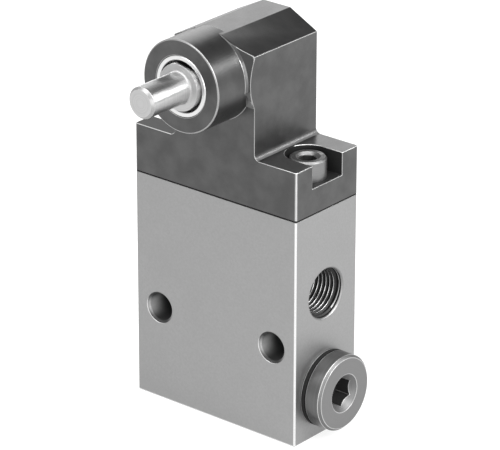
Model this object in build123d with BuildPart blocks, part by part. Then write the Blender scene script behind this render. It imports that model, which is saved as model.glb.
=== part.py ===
from build123d import *
import math
import os

# A small 3/2-way spool valve worked by a turning spindle. A bar of anodised aluminium holds the
# spool; the black head screwed on top holds the spindle, whose cam presses a tappet on the spool.
# X runs along the wide face, Y from front to back, Z up. The origin is the middle of the underside.

# Valve body
body_width = 39.0
body_depth = 18.0
body_height = 45.7
corner_break = 0.25
edge_break = 0.2

# Pipe ports, G 1/8, and the two mounting holes between them
port_radius = 4.864
port_mouth_radius = 5.15
port_depth = 8.0
lower_port_height = 9.4
port_pitch = 19.2
mount_pitch = 27.6
mount_radius = 2.75
mount_mouth_radius = 3.2

# Head: a foot as wide as the body, and a tower with a bevelled roof
gasket_thickness = 0.3
gasket_inset = 0.15
foot_thickness = 9.5
tower_width = 19.2
root_fillet = 1.1
spindle_height = 14.8
roof_above_spindle = 8.5
roof_width = 6.4
roof_drop = 3.25

# Boss that carries the spindle, and the conical flare where it leaves the tower
boss_radius = 8.95
boss_reach = 9.3
boss_bevel = 0.15
flare_reach = 1.8
flare_runout = 3.5

# Two M4 socket head screws in slots that open on the head's ends
screw_pitch = 29.8
screw_radius = 2.0
screw_head_radius = 3.5
screw_head_height = 4.0
screw_head_bevel = 0.35
screw_key = 3.0
screw_key_depth = 2.0
screw_key_turn = 40.0
screw_length = 14.0
screw_thread_spare = 1.3
screw_hole_clearance = 0.25
slot_clearance = 0.85
slot_depth = 4.5

# Spindle, from the lever end inwards
stub_radius = 3.05
stub_length = 10.3
stub_bevel = 0.5
stub_root_fillet = 0.4
collar_radius = 4.5
collar_proud = 0.7
collar_depth = 1.0
journal_radius = 4.92
bush_wall = 0.95
bush_length = 8.0
bush_bevel = 0.15
washer_thickness = 0.5
shoulder_thickness = 1.5
spindle_float = 0.1
cam_seat_radius = 2.0
seal_groove_width = 1.4
seal_groove_depth = 0.95
seal_groove_setback = 4.2

# Cam: its flank is an involute, so that the tappet falls in step with the angle
lever_travel = 50.0
tappet_stroke = 2.0
cam_width = 8.0
cam_nose_radius = 1.2
cam_pin_radius = 0.75
cam_pin_angle = 160.0
stop_disc_thickness = 1.3
stop_pin_radius = 0.8
stop_pin_hold = 1.6
rear_bush_wall = 0.95
rear_skin = 0.8

# Tappet and its spring
tappet_bore_radius = 4.5
tappet_length = 8.0
tappet_crown = 2.0
tappet_wall = 1.15
tappet_wire = 0.6
tappet_coils = 7

# Spool, its seals and the cages between them
bore_radius = 6.0
bore_floor = 5.0
spool_radius = 3.5
spool_waist_radius = 2.4
stem_radius = 2.0
seal_thickness = 2.2
seal_lip = 1.2
seal_rim = 1.4
cage_length = 3.6
cage_wall = 1.4
cage_groove_depth = 0.5
cage_hole_radius = 1.1
supply_cage_wall = 1.7
supply_hole_radius = 2.0
supply_passage_radius = 2.5
upper_passage_radius = 1.3
spool_land_below = 6.0
spool_spigot = 2.0
spool_overlap = 0.3
spool_shoulder_above = 3.3
bush_step_gap = 0.2
return_wire = 0.8
return_coils = 6

# Guide bush that closes the bore, and its two seal rings
guide_groove_width = 1.6
guide_groove_depth = 1.1
stem_groove_width = 1.4
stem_groove_depth = 1.0

# Blanking plug in the lower port on the right
plug_radius = 7.46
plug_collar = 3.7
plug_bevel = 0.5
plug_back_bevel = 0.3
plug_seal_thickness = 0.95
plug_seal_wall = 2.4
plug_shank = 7.2
plug_key = 5.2
plug_key_depth = 4.0
plug_key_mouth = 3.8

# Clearances: running fits, pieces pressed or laid in place, and what must pass freely
running_gap = 0.03
seat_gap = 0.02
free_gap = 0.25
contact_gap = 0.05

# How finely the small inner rings and the spring wires are drawn
ring_sides = 6
coil_steps = 12

# Places that several pieces share
front_face = -body_depth / 2
boss_face = front_face - boss_reach
mount_height = lower_port_height + port_pitch / 2
upper_port_height = lower_port_height + port_pitch
foot_base = body_height + gasket_thickness
ledge = foot_base + foot_thickness
spindle_axis_height = ledge + spindle_height
roof = spindle_axis_height + roof_above_spindle
eaves = roof - roof_drop
slot_floor = ledge - slot_depth
bush_bore_radius = journal_radius + running_gap
spindle_bore_radius = bush_bore_radius + bush_wall
spindle_axis = Axis((0, 0, spindle_axis_height), (0, 1, 0))

# Along the spindle, from front to back
bush_back = boss_face + bush_length
shoulder_front = bush_back + washer_thickness + spindle_float
cam_front = -cam_width / 2
cam_back = cam_width / 2
stop_disc_front = tappet_bore_radius + spindle_float + free_gap
stop_disc_back = stop_disc_front + stop_disc_thickness
spindle_bore_floor = stop_disc_back + spindle_float + contact_gap
rear_bush_back = body_depth / 2 - rear_skin

# Cam sizes that follow from the stroke, the travel and the room in the bore
cam_rate = tappet_stroke / math.radians(lever_travel)
cam_reach = spindle_bore_radius - free_gap
cam_top_lift = cam_nose_radius + math.sqrt((cam_reach - cam_nose_radius) ** 2 - cam_rate**2)
cam_base_radius = cam_top_lift - tappet_stroke
stop_pin_ring = cam_reach - stop_pin_radius - free_gap

# Along the spool, from the floor of the bore up
seal_pitch = seal_thickness + cage_length
lower_seal = upper_port_height - seal_pitch
upper_seal = upper_port_height + seal_pitch
outlet_level = upper_port_height - seal_pitch / 2
exhaust_level = upper_port_height + seal_pitch / 2
supply_cage_top = lower_seal - seal_thickness / 2
guide_bush_base = upper_seal + seal_thickness / 2
waist_base = lower_seal + seal_lip / 2 + spool_overlap
waist_top = upper_port_height - seal_lip / 2 + tappet_stroke - spool_overlap
land_base = waist_base - spool_land_below
spigot_base = land_base - spool_spigot
cage_radius = bore_radius - seat_gap
guide_radius = bore_radius - seat_gap
spool_shoulder = guide_bush_base + spool_shoulder_above
guide_step = spool_shoulder + bush_step_gap
tappet_top = spindle_axis_height - cam_base_radius - contact_gap
tappet_underside = tappet_top - tappet_crown
stem_top = tappet_underside - contact_gap


def draw_head_outline():
    """Front view of the head: the wide foot, and the tower with its bevelled roof."""
    with BuildLine() as outline:
        Polyline(
            (-body_width / 2, foot_base),
            (body_width / 2, foot_base),
            (body_width / 2, ledge),
            (tower_width / 2, ledge),
            (tower_width / 2, eaves),
            (roof_width / 2, roof),
            (-roof_width / 2, roof),
            (-tower_width / 2, eaves),
            (-tower_width / 2, ledge),
            (-body_width / 2, ledge),
            close=True,
        )
    make_face(outline.edges())


def make_ring(inner_radius, outer_radius, base, height):
    """A plain ring about the Z axis, standing on the plane z = base."""
    with BuildSketch(Plane.XY.offset(base)) as section:
        Circle(outer_radius)
        Circle(inner_radius, mode=Mode.SUBTRACT)
    extrude(section.sketch, amount=height)


def make_seal_ring(inner_radius, outer_radius, height):
    """A seal ring about the Z axis, centred at z = height, with a polygon for its round section."""
    with BuildSketch(Plane.XZ) as section:
        with Locations(((inner_radius + outer_radius) / 2, height)):
            RegularPolygon((outer_radius - inner_radius) / 2, ring_sides)
    revolve(section.sketch, axis=Axis.Z)


def make_coil_spring(outer_radius, wire, coils, base, top):
    """A compression spring about the Z axis, with ground ends on the planes base and top."""
    length = top - base
    mean_radius = outer_radius - wire / 2
    coil = Helix(length / coils, length, mean_radius, center=(0, 0, base), mode=Mode.PRIVATE)
    stations = coils * coil_steps
    with BuildLine() as path:
        Polyline(*[coil @ (station / stations) for station in range(stations + 1)])
    with BuildSketch(Plane(origin=path.line @ 0, z_dir=path.line % 0)) as section:
        RegularPolygon(wire / 2, ring_sides)
    sweep(section.sketch, path=path.line, transition=Transition.RIGHT)
    with BuildSketch(Plane.XY.offset(base)) as ground:
        Circle(outer_radius + wire)
    extrude(ground.sketch, amount=length, mode=Mode.INTERSECT)


# Valve body: sawn and milled bar, with a stepped row of drillings for the air
with BuildPart() as valve_body:
    with BuildSketch():
        Rectangle(body_width, body_depth)
    extrude(amount=body_height)
    chamfer(valve_body.edges().filter_by(Axis.Z), corner_break)
    chamfer(valve_body.faces().sort_by(Axis.Z)[0].edges(), edge_break)

    with Locations((0, 0, body_height)):
        Hole(bore_radius, depth=body_height - bore_floor)

    with Locations((-screw_pitch / 2, 0, body_height), (screw_pitch / 2, 0, body_height)):
        Hole(screw_radius, depth=screw_length - slot_floor + body_height + screw_thread_spare)

    mount_mouth = mount_mouth_radius - mount_radius
    with Locations(Plane.XZ.offset(body_depth / 2)):
        with Locations((-mount_pitch / 2, mount_height), (mount_pitch / 2, mount_height)):
            Hole(mount_radius)
    mount_rims = valve_body.edges().filter_by(GeomType.CIRCLE)
    mount_rims = mount_rims.filter_by(lambda rim: abs(rim.radius - mount_radius) < running_gap)
    chamfer(mount_rims, mount_mouth)

    # Both ends have an upper and a lower port; drillings lead each to its own chamber
    port_mouth = port_mouth_radius - port_radius
    for side in (1, -1):
        end = Plane(origin=(side * body_width / 2, 0, 0), x_dir=(0, side, 0), z_dir=(side, 0, 0))
        with BuildSketch(end):
            with Locations((0, lower_port_height), (0, upper_port_height)):
                Circle(port_radius)
        extrude(amount=-port_depth, mode=Mode.SUBTRACT)
        with BuildSketch(end):
            with Locations((0, lower_port_height)):
                Circle(supply_passage_radius)
        extrude(amount=-body_width / 2, mode=Mode.SUBTRACT)
    port_rims = valve_body.edges().filter_by(GeomType.CIRCLE)
    port_rims = port_rims.filter_by(lambda rim: abs(rim.radius - port_radius) < running_gap)
    port_rims = port_rims.filter_by(lambda rim: abs(rim.center().X) > body_width / 2 - running_gap)
    chamfer(port_rims, port_mouth)

    for side, level in ((1, outlet_level), (-1, exhaust_level)):
        with BuildSketch(Plane.YZ):
            with Locations((0, level)):
                Circle(upper_passage_radius)
        extrude(amount=side * (body_width / 2 - port_depth / 2), mode=Mode.SUBTRACT)

valve_body.part.label = "valve_body"
export_step(valve_body.part, "parts/valve_body.step")

# Root of the boss: a cone round it, which the sides of the tower cut into curved edges. Below the
# spindle the cone runs out on a slope into the front of the tower.
flare_radius = boss_radius + flare_reach
flare_foot = spindle_axis_height - math.sqrt(flare_radius**2 - (tower_width / 2) ** 2)
with BuildPart() as boss_root:
    with BuildSketch(Plane.YZ):
        with BuildLine():
            Polyline(
                (front_face, spindle_axis_height),
                (front_face, spindle_axis_height + flare_radius),
                (front_face - flare_reach, spindle_axis_height + boss_radius),
                (front_face - flare_reach, spindle_axis_height),
                close=True,
            )
        make_face()
    revolve(axis=spindle_axis)
    with BuildSketch(Plane.XZ.offset(body_depth / 2)):
        draw_head_outline()
    extrude(amount=flare_reach, mode=Mode.INTERSECT)
    with BuildSketch(Plane.YZ.offset(-tower_width / 2)):
        with BuildLine():
            Polyline(
                (front_face, flare_foot),
                (front_face - flare_reach, flare_foot + flare_runout),
                (front_face - flare_reach, ledge),
                (front_face, ledge),
                close=True,
            )
        make_face()
    extrude(amount=tower_width, mode=Mode.SUBTRACT)
    with BuildSketch(Plane.XZ.offset(body_depth / 2)):
        with Locations((0, spindle_axis_height)):
            Circle(boss_radius)
    extrude(amount=flare_reach)

# Head: black anodised housing with the spindle bore, the tappet bore and the screw slots
with BuildPart() as head_housing:
    with BuildSketch(Plane.XZ.offset(-body_depth / 2)) as head_front:
        draw_head_outline()
        roots = head_front.vertices().group_by(Axis.Y)[1].sort_by(Axis.X)[1:3]
        fillet(roots, root_fillet)
    extrude(amount=body_depth)
    chamfer(head_housing.edges().filter_by(Axis.Z).group_by(SortBy.LENGTH)[0], corner_break)

    add(boss_root.part)
    with BuildSketch(Plane.XZ.offset(flare_reach - front_face)):
        with Locations((0, spindle_axis_height)):
            Circle(boss_radius)
    extrude(amount=boss_reach - flare_reach)
    chamfer(head_housing.faces().sort_by(Axis.Y)[0].edges(), boss_bevel)

    with BuildSketch(Plane.XZ.offset(-boss_face)):
        with Locations((0, spindle_axis_height)):
            Circle(spindle_bore_radius)
    extrude(amount=boss_face - spindle_bore_floor, mode=Mode.SUBTRACT)
    with BuildSketch(Plane.XZ.offset(-boss_face)):
        with Locations((0, spindle_axis_height)):
            Circle(cam_seat_radius + running_gap + rear_bush_wall)
    extrude(amount=boss_face - rear_bush_back, mode=Mode.SUBTRACT)
    with BuildSketch(Plane.XZ.offset(-spindle_bore_floor)):
        with Locations((0, spindle_axis_height + stop_pin_ring)):
            Circle(stop_pin_radius)
    extrude(amount=-stop_pin_hold, mode=Mode.SUBTRACT)

    with BuildSketch(Plane.XY.offset(foot_base)):
        Circle(tappet_bore_radius)
    extrude(amount=spindle_axis_height - foot_base, mode=Mode.SUBTRACT)

    slot_radius = screw_head_radius + slot_clearance
    slot_run = (body_width - screw_pitch) / 2
    with BuildSketch(Plane.XY.offset(ledge)):
        with Locations((-screw_pitch / 2, 0), (screw_pitch / 2, 0)):
            Circle(slot_radius)
        with Locations((-(screw_pitch + slot_run) / 2, 0), ((screw_pitch + slot_run) / 2, 0)):
            Rectangle(slot_run, 2 * slot_radius)
    extrude(amount=-slot_depth, mode=Mode.SUBTRACT)
    with Locations((-screw_pitch / 2, 0, slot_floor), (screw_pitch / 2, 0, slot_floor)):
        Hole(screw_radius + screw_hole_clearance)

head_housing.part.label = "head_housing"
export_step(head_housing.part, "parts/head_housing.step")

# Gasket: a thin sheet between body and head, cut a little inside their outline
with BuildPart() as head_gasket:
    with BuildSketch(Plane.XY.offset(body_height)):
        Rectangle(body_width - 2 * gasket_inset, body_depth - 2 * gasket_inset)
        Circle(bore_radius, mode=Mode.SUBTRACT)
        with Locations((-screw_pitch / 2, 0), (screw_pitch / 2, 0)):
            Circle(screw_radius + screw_hole_clearance, mode=Mode.SUBTRACT)
    extrude(amount=gasket_thickness)

head_gasket.part.label = "head_gasket"
export_step(head_gasket.part, "parts/head_gasket.step")

# Head screws: hexagon socket, standing on the floors of the slots
with BuildPart() as head_screws:
    screw_places = ((-screw_pitch / 2, 0), (screw_pitch / 2, 0))
    with BuildSketch(Plane.XY.offset(slot_floor)):
        with Locations(*screw_places):
            Circle(screw_head_radius)
    extrude(amount=screw_head_height)
    chamfer(head_screws.faces().group_by(Axis.Z)[-1].edges(), screw_head_bevel)
    with BuildSketch(Plane.XY.offset(slot_floor)):
        with Locations(*screw_places):
            Circle(screw_radius - seat_gap)
    extrude(amount=-screw_length)
    with BuildSketch(Plane.XY.offset(slot_floor + screw_head_height)):
        with Locations(*screw_places):
            RegularPolygon(screw_key / 2, 6, major_radius=False, rotation=screw_key_turn)
    extrude(amount=-screw_key_depth, mode=Mode.SUBTRACT)

head_screws.part.label = "head_screws"
export_step(head_screws.part, "parts/head_screws.step")

# Front bush: the bright steel ring in the boss, bearing of the spindle's large journal
with BuildPart() as front_bush:
    with BuildSketch(Plane.XZ.offset(-boss_face)):
        with Locations((0, spindle_axis_height)):
            Circle(spindle_bore_radius - seat_gap)
            Circle(bush_bore_radius, mode=Mode.SUBTRACT)
    extrude(amount=-bush_length)
    chamfer(front_bush.faces().sort_by(Axis.Y)[0].edges(), bush_bevel)

front_bush.part.label = "front_bush"
export_step(front_bush.part, "parts/front_bush.step")

# Thrust washer between the front bush and the spindle's shoulder
with BuildPart() as thrust_washer:
    with BuildSketch(Plane.XZ.offset(-bush_back)):
        with Locations((0, spindle_axis_height)):
            Circle(spindle_bore_radius - seat_gap)
            Circle(bush_bore_radius, mode=Mode.SUBTRACT)
    extrude(amount=-washer_thickness)

thrust_washer.part.label = "thrust_washer"
export_step(thrust_washer.part, "parts/thrust_washer.step")

# Rear bush: sleeve in the back wall that carries the spindle's small end
with BuildPart() as rear_bush:
    with BuildSketch(Plane.XZ.offset(-spindle_bore_floor)):
        with Locations((0, spindle_axis_height)):
            Circle(cam_seat_radius + running_gap + rear_bush_wall - seat_gap)
            Circle(cam_seat_radius + running_gap, mode=Mode.SUBTRACT)
    extrude(amount=spindle_bore_floor - rear_bush_back)

rear_bush.part.label = "rear_bush"
export_step(rear_bush.part, "parts/rear_bush.step")

# Stop pin: dowel in the back wall that stands in the notch of the stop disc
with BuildPart() as stop_pin:
    with BuildSketch(Plane.XZ.offset(-stop_disc_front)):
        with Locations((0, spindle_axis_height + stop_pin_ring)):
            Circle(stop_pin_radius - seat_gap)
    extrude(amount=stop_disc_front - spindle_bore_floor - stop_pin_hold)

stop_pin.part.label = "stop_pin"
export_step(stop_pin.part, "parts/stop_pin.step")

# Cam pin: runs through cam and spindle, square to the axis and clear of the cam's flank
pin_direction = Vector(math.sin(math.radians(cam_pin_angle)), 0, -math.cos(math.radians(cam_pin_angle)))
pin_plane = Plane(origin=(0, 0, spindle_axis_height), z_dir=pin_direction)
with BuildPart() as cam_pin:
    with BuildSketch(pin_plane):
        Circle(cam_pin_radius - seat_gap)
    extrude(amount=cam_base_radius - contact_gap, both=True)

cam_pin.part.label = "cam_pin"
export_step(cam_pin.part, "parts/cam_pin.step")

# Spindle: turned in one piece, from the lever stub to the small rear end
groove_front = boss_face + seal_groove_setback
collar_front = boss_face - collar_proud
spindle_section = Plane(origin=(0, 0, spindle_axis_height), x_dir=(0, 1, 0), z_dir=(1, 0, 0))
with BuildPart() as spindle:
    with BuildSketch(spindle_section):
        with BuildLine():
            Polyline(
                (collar_front - stub_length, 0),
                (collar_front - stub_length, stub_radius),
                (collar_front, stub_radius),
                (collar_front, collar_radius),
                (boss_face + collar_depth, collar_radius),
                (boss_face + collar_depth, journal_radius),
                (groove_front, journal_radius),
                (groove_front, journal_radius - seal_groove_depth),
                (groove_front + seal_groove_width, journal_radius - seal_groove_depth),
                (groove_front + seal_groove_width, journal_radius),
                (shoulder_front, journal_radius),
                (shoulder_front, cam_reach),
                (shoulder_front + shoulder_thickness, cam_reach),
                (shoulder_front + shoulder_thickness, cam_base_radius - free_gap),
                (cam_front, cam_base_radius - free_gap),
                (cam_front, cam_seat_radius),
                (rear_bush_back - spindle_float, cam_seat_radius),
                (rear_bush_back - spindle_float, 0),
                close=True,
            )
        make_face()
    revolve(axis=spindle_axis)
    chamfer(spindle.faces().sort_by(Axis.Y)[0].edges(), stub_bevel)
    stub_rings = spindle.edges().filter_by(lambda ring: abs(ring.center().Y - collar_front) < running_gap)
    fillet(stub_rings.sort_by(SortBy.LENGTH)[0], stub_root_fillet)
    with BuildSketch(pin_plane):
        Circle(cam_pin_radius)
    extrude(amount=cam_base_radius, both=True, mode=Mode.SUBTRACT)

spindle.part.label = "spindle"
export_step(spindle.part, "parts/spindle.step")

# Spindle seal: round-section ring in the groove of the large journal
seal_inner = journal_radius - seal_groove_depth
with BuildPart() as spindle_seal:
    with BuildSketch(spindle_section):
        with Locations((groove_front + seal_groove_width / 2, (seal_inner + journal_radius) / 2)):
            RegularPolygon((journal_radius - seal_inner) / 2, ring_sides)
    revolve(axis=spindle_axis)

spindle_seal.part.label = "spindle_seal"
export_step(spindle_seal.part, "parts/spindle_seal.step")


def cam_normal(angle):
    """Unit vector in the XZ plane that points down at 0 degrees and towards +X at 90."""
    return Vector(math.sin(math.radians(angle)), -math.cos(math.radians(angle)))


def cam_tangent(angle):
    """Unit vector square to cam_normal, on the side of growing angle."""
    return Vector(math.cos(math.radians(angle)), math.sin(math.radians(angle)))


def cam_flank(angle):
    """Point of the involute flank that touches the tappet when the spindle has turned by angle."""
    lift = cam_base_radius + cam_rate * math.radians(angle)
    return cam_normal(angle) * lift + cam_tangent(angle) * cam_rate


# Cam: a flat for the rest position, the involute flank, a round nose and a plain round back
flank_steps = 8
flank_points = [cam_flank(lever_travel * step / flank_steps) for step in range(flank_steps + 1)]
nose_centre = flank_points[-1] - cam_normal(lever_travel) * cam_nose_radius
nose_bearing = lever_travel + math.degrees(math.atan2(cam_rate, cam_top_lift - cam_nose_radius))
back_turn = math.acos((cam_base_radius - cam_nose_radius) / nose_centre.length)
back_bearing = nose_bearing + math.degrees(back_turn)
nose_middle = (lever_travel + back_bearing) / 2
back_middle = (back_bearing + 360) / 2
notch_margin = math.degrees(math.asin((stop_pin_radius + contact_gap) / stop_pin_ring))
cam_plane = Plane(origin=(0, 0, spindle_axis_height), x_dir=(1, 0, 0), z_dir=(0, -1, 0))
with BuildPart() as cam:
    with BuildSketch(cam_plane.offset(-cam_front)):
        with BuildLine():
            Line((0, -cam_base_radius), flank_points[0])
            Spline(*flank_points, tangents=(cam_tangent(0), cam_tangent(lever_travel)))
            ThreePointArc(
                flank_points[-1],
                nose_centre + cam_normal(nose_middle) * cam_nose_radius,
                nose_centre + cam_normal(back_bearing) * cam_nose_radius,
            )
            Line(
                nose_centre + cam_normal(back_bearing) * cam_nose_radius,
                cam_normal(back_bearing) * cam_base_radius,
            )
            ThreePointArc(
                cam_normal(back_bearing) * cam_base_radius,
                cam_normal(back_middle) * cam_base_radius,
                (0, -cam_base_radius),
            )
        make_face()
        Circle(cam_seat_radius + seat_gap, mode=Mode.SUBTRACT)
    extrude(amount=-cam_width)

    # Hub and stop disc behind the flank, with the notch that limits the travel
    with BuildSketch(cam_plane.offset(-cam_back)):
        Circle(cam_base_radius - free_gap)
        Circle(cam_seat_radius + seat_gap, mode=Mode.SUBTRACT)
    extrude(amount=cam_back - stop_disc_back)
    with BuildSketch(cam_plane.offset(-stop_disc_front)):
        Circle(cam_reach)
        Circle(cam_seat_radius + seat_gap, mode=Mode.SUBTRACT)
    extrude(amount=-stop_disc_thickness)
    notch_inner = stop_pin_ring - stop_pin_radius - contact_gap
    notch_outer = 2 * cam_reach
    notch_start = 180 - notch_margin
    notch_end = 180 + lever_travel + notch_margin
    notch_middle = (notch_start + notch_end) / 2
    with BuildSketch(cam_plane.offset(-stop_disc_front)):
        with BuildLine():
            Polyline(
                cam_normal(notch_start) * notch_inner,
                cam_normal(notch_start) * notch_outer,
                cam_normal(notch_middle) * notch_outer,
                cam_normal(notch_end) * notch_outer,
                cam_normal(notch_end) * notch_inner,
            )
            ThreePointArc(
                cam_normal(notch_end) * notch_inner,
                cam_normal(notch_middle) * notch_inner,
                cam_normal(notch_start) * notch_inner,
            )
        make_face()
    extrude(amount=-stop_disc_thickness, mode=Mode.SUBTRACT)
    with BuildSketch(pin_plane):
        Circle(cam_pin_radius)
    extrude(amount=cam_reach, both=True, mode=Mode.SUBTRACT)

cam.part.label = "cam"
export_step(cam.part, "parts/cam.step")

# Tappet: hardened cup that slides under the cam
with BuildPart() as tappet:
    with BuildSketch(Plane.XY.offset(tappet_top)):
        Circle(tappet_bore_radius - running_gap)
    extrude(amount=-tappet_length)
    chamfer(tappet.faces().sort_by(Axis.Z)[-1].edges(), edge_break)
    with BuildSketch(Plane.XY.offset(tappet_underside)):
        Circle(tappet_bore_radius - running_gap - tappet_wall)
    extrude(amount=tappet_crown - tappet_length, mode=Mode.SUBTRACT)

tappet.part.label = "tappet"
export_step(tappet.part, "parts/tappet.step")

# Tappet spring: stands on the guide bush, around the stem, and lifts the tappet
with BuildPart() as tappet_spring:
    tappet_spring_radius = tappet_bore_radius - running_gap - tappet_wall - free_gap
    make_coil_spring(tappet_spring_radius, tappet_wire, tappet_coils, foot_base, tappet_underside)

tappet_spring.part.label = "tappet_spring"
export_step(tappet_spring.part, "parts/tappet_spring.step")

# Spool: two lands with a waist between them, and the stem that the tappet presses
with BuildPart() as spool:
    with BuildSketch(Plane.XZ):
        with BuildLine():
            Polyline(
                (0, spigot_base),
                (stem_radius, spigot_base),
                (stem_radius, land_base),
                (spool_radius, land_base),
                (spool_radius, waist_base),
                (spool_waist_radius, waist_base),
                (spool_waist_radius, waist_top),
                (spool_radius, waist_top),
                (spool_radius, spool_shoulder),
                (stem_radius, spool_shoulder),
                (stem_radius, stem_top),
                (0, stem_top),
                close=True,
            )
        make_face()
    revolve(axis=Axis.Z)

spool.part.label = "spool"
export_step(spool.part, "parts/spool.step")

# Spool seals: three moulded rings, thick at the rim and thin at the lip
with BuildPart() as spool_seals:
    seal_lip_radius = spool_radius + running_gap
    for level in (lower_seal, upper_port_height, upper_seal):
        with BuildSketch(Plane.XZ):
            with BuildLine():
                Polyline(
                    (bore_radius - seat_gap, level - seal_thickness / 2),
                    (bore_radius - seat_gap, level + seal_thickness / 2),
                    (bore_radius - seal_rim, level + seal_thickness / 2),
                    (seal_lip_radius, level + seal_lip / 2),
                    (seal_lip_radius, level - seal_lip / 2),
                    (bore_radius - seal_rim, level - seal_thickness / 2),
                    close=True,
                )
            make_face()
        revolve(axis=Axis.Z)

spool_seals.part.label = "spool_seals"
export_step(spool_seals.part, "parts/spool_seals.step")

# Supply cage: long sleeve round the return spring, cross-drilled at the lower ports
with BuildPart() as supply_cage:
    make_ring(cage_radius - supply_cage_wall, cage_radius, bore_floor, supply_cage_top - bore_floor)
    with BuildSketch(Plane.YZ):
        with Locations((0, lower_port_height)):
            Circle(supply_hole_radius)
    extrude(amount=bore_radius, both=True, mode=Mode.SUBTRACT)

supply_cage.part.label = "supply_cage"
export_step(supply_cage.part, "parts/supply_cage.step")

# Port cages: two spacers with a groove outside and holes that lead the air to the waist
with BuildPart() as port_cages:
    for level in (outlet_level, exhaust_level):
        make_ring(cage_radius - cage_wall, cage_radius, level - cage_length / 2, cage_length)
        with BuildSketch(Plane.XY.offset(level - cage_hole_radius)):
            Circle(bore_radius)
            Circle(cage_radius - cage_groove_depth, mode=Mode.SUBTRACT)
        extrude(amount=2 * cage_hole_radius, mode=Mode.SUBTRACT)
        with BuildSketch(Plane.YZ):
            with Locations((0, level)):
                Circle(cage_hole_radius)
        extrude(amount=bore_radius, both=True, mode=Mode.SUBTRACT)

port_cages.part.label = "port_cages"
export_step(port_cages.part, "parts/port_cages.step")

# Guide bush: brass plug that closes the bore and guides the stem
guide_groove_centre = (guide_bush_base + body_height) / 2
stem_bore_radius = stem_radius + running_gap
stem_groove_centre = (guide_step + foot_base) / 2
with BuildPart() as guide_bush:
    with BuildSketch(Plane.XZ):
        with BuildLine():
            Polyline(
                (spool_radius + running_gap, guide_bush_base),
                (guide_radius, guide_bush_base),
                (guide_radius, foot_base),
                (stem_bore_radius, foot_base),
                (stem_bore_radius, guide_step),
                (spool_radius + running_gap, guide_step),
                close=True,
            )
        make_face()
        with Locations((guide_radius - guide_groove_depth / 2, guide_groove_centre)):
            Rectangle(guide_groove_depth, guide_groove_width, mode=Mode.SUBTRACT)
        with Locations((stem_bore_radius + stem_groove_depth / 2, stem_groove_centre)):
            Rectangle(stem_groove_depth, stem_groove_width, mode=Mode.SUBTRACT)
    revolve(axis=Axis.Z)

guide_bush.part.label = "guide_bush"
export_step(guide_bush.part, "parts/guide_bush.step")

# Guide bush seal: ring between the bush and the bore
with BuildPart() as guide_seal:
    make_seal_ring(guide_radius - guide_groove_depth, guide_radius, guide_groove_centre)

guide_seal.part.label = "guide_seal"
export_step(guide_seal.part, "parts/guide_seal.step")

# Stem seal: ring between the bush and the sliding stem
with BuildPart() as stem_seal:
    make_seal_ring(stem_bore_radius, stem_bore_radius + stem_groove_depth, stem_groove_centre)

stem_seal.part.label = "stem_seal"
export_step(stem_seal.part, "parts/stem_seal.step")

# Return spring: stands on the floor of the bore and lifts the spool
with BuildPart() as return_spring:
    return_spring_radius = cage_radius - supply_cage_wall - free_gap
    make_coil_spring(return_spring_radius, return_wire, return_coils, bore_floor, land_base)

return_spring.part.label = "return_spring"
export_step(return_spring.part, "parts/return_spring.step")

# Plug seal: sealing washer between the blanking plug's collar and the body
plug_axis = Axis((0, 0, lower_port_height), (1, 0, 0))
with BuildPart() as plug_seal:
    with BuildSketch(Plane.YZ.offset(body_width / 2)):
        with Locations((0, lower_port_height)):
            Circle(plug_radius)
            Circle(plug_radius - plug_seal_wall, mode=Mode.SUBTRACT)
    extrude(amount=plug_seal_thickness)

plug_seal.part.label = "plug_seal"
export_step(plug_seal.part, "parts/plug_seal.step")

# Blanking plug: turned screw plug with a wide collar and a hexagon socket
collar_back = body_width / 2 + plug_seal_thickness
collar_end = collar_back + plug_collar
plug_section = Plane(origin=(0, 0, lower_port_height), x_dir=(1, 0, 0), z_dir=(0, -1, 0))
with BuildPart() as blanking_plug:
    with BuildSketch(plug_section):
        with BuildLine():
            Polyline(
                (body_width / 2 - plug_shank, 0),
                (body_width / 2 - plug_shank, port_radius - contact_gap),
                (collar_back, port_radius - contact_gap),
                (collar_back, plug_radius - plug_back_bevel),
                (collar_back + plug_back_bevel, plug_radius),
                (collar_end - plug_bevel, plug_radius),
                (collar_end, plug_radius - plug_bevel),
                (collar_end, 0),
                close=True,
            )
        make_face()
    revolve(axis=plug_axis)
    with BuildSketch(Plane.YZ.offset(collar_end)):
        with Locations((0, lower_port_height)):
            RegularPolygon(plug_key / 2, 6, major_radius=False, rotation=30)
    extrude(amount=-plug_key_depth, mode=Mode.SUBTRACT)
    with BuildSketch(plug_section):
        with BuildLine():
            Polyline(
                (collar_end, 0),
                (collar_end, plug_key_mouth),
                (collar_end - plug_key_mouth, 0),
                close=True,
            )
        make_face()
    revolve(axis=plug_axis, mode=Mode.SUBTRACT)

blanking_plug.part.label = "blanking_plug"
export_step(blanking_plug.part, "parts/blanking_plug.step")
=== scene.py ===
import math

import bmesh
import bpy
from mathutils import Matrix, Vector


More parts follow.
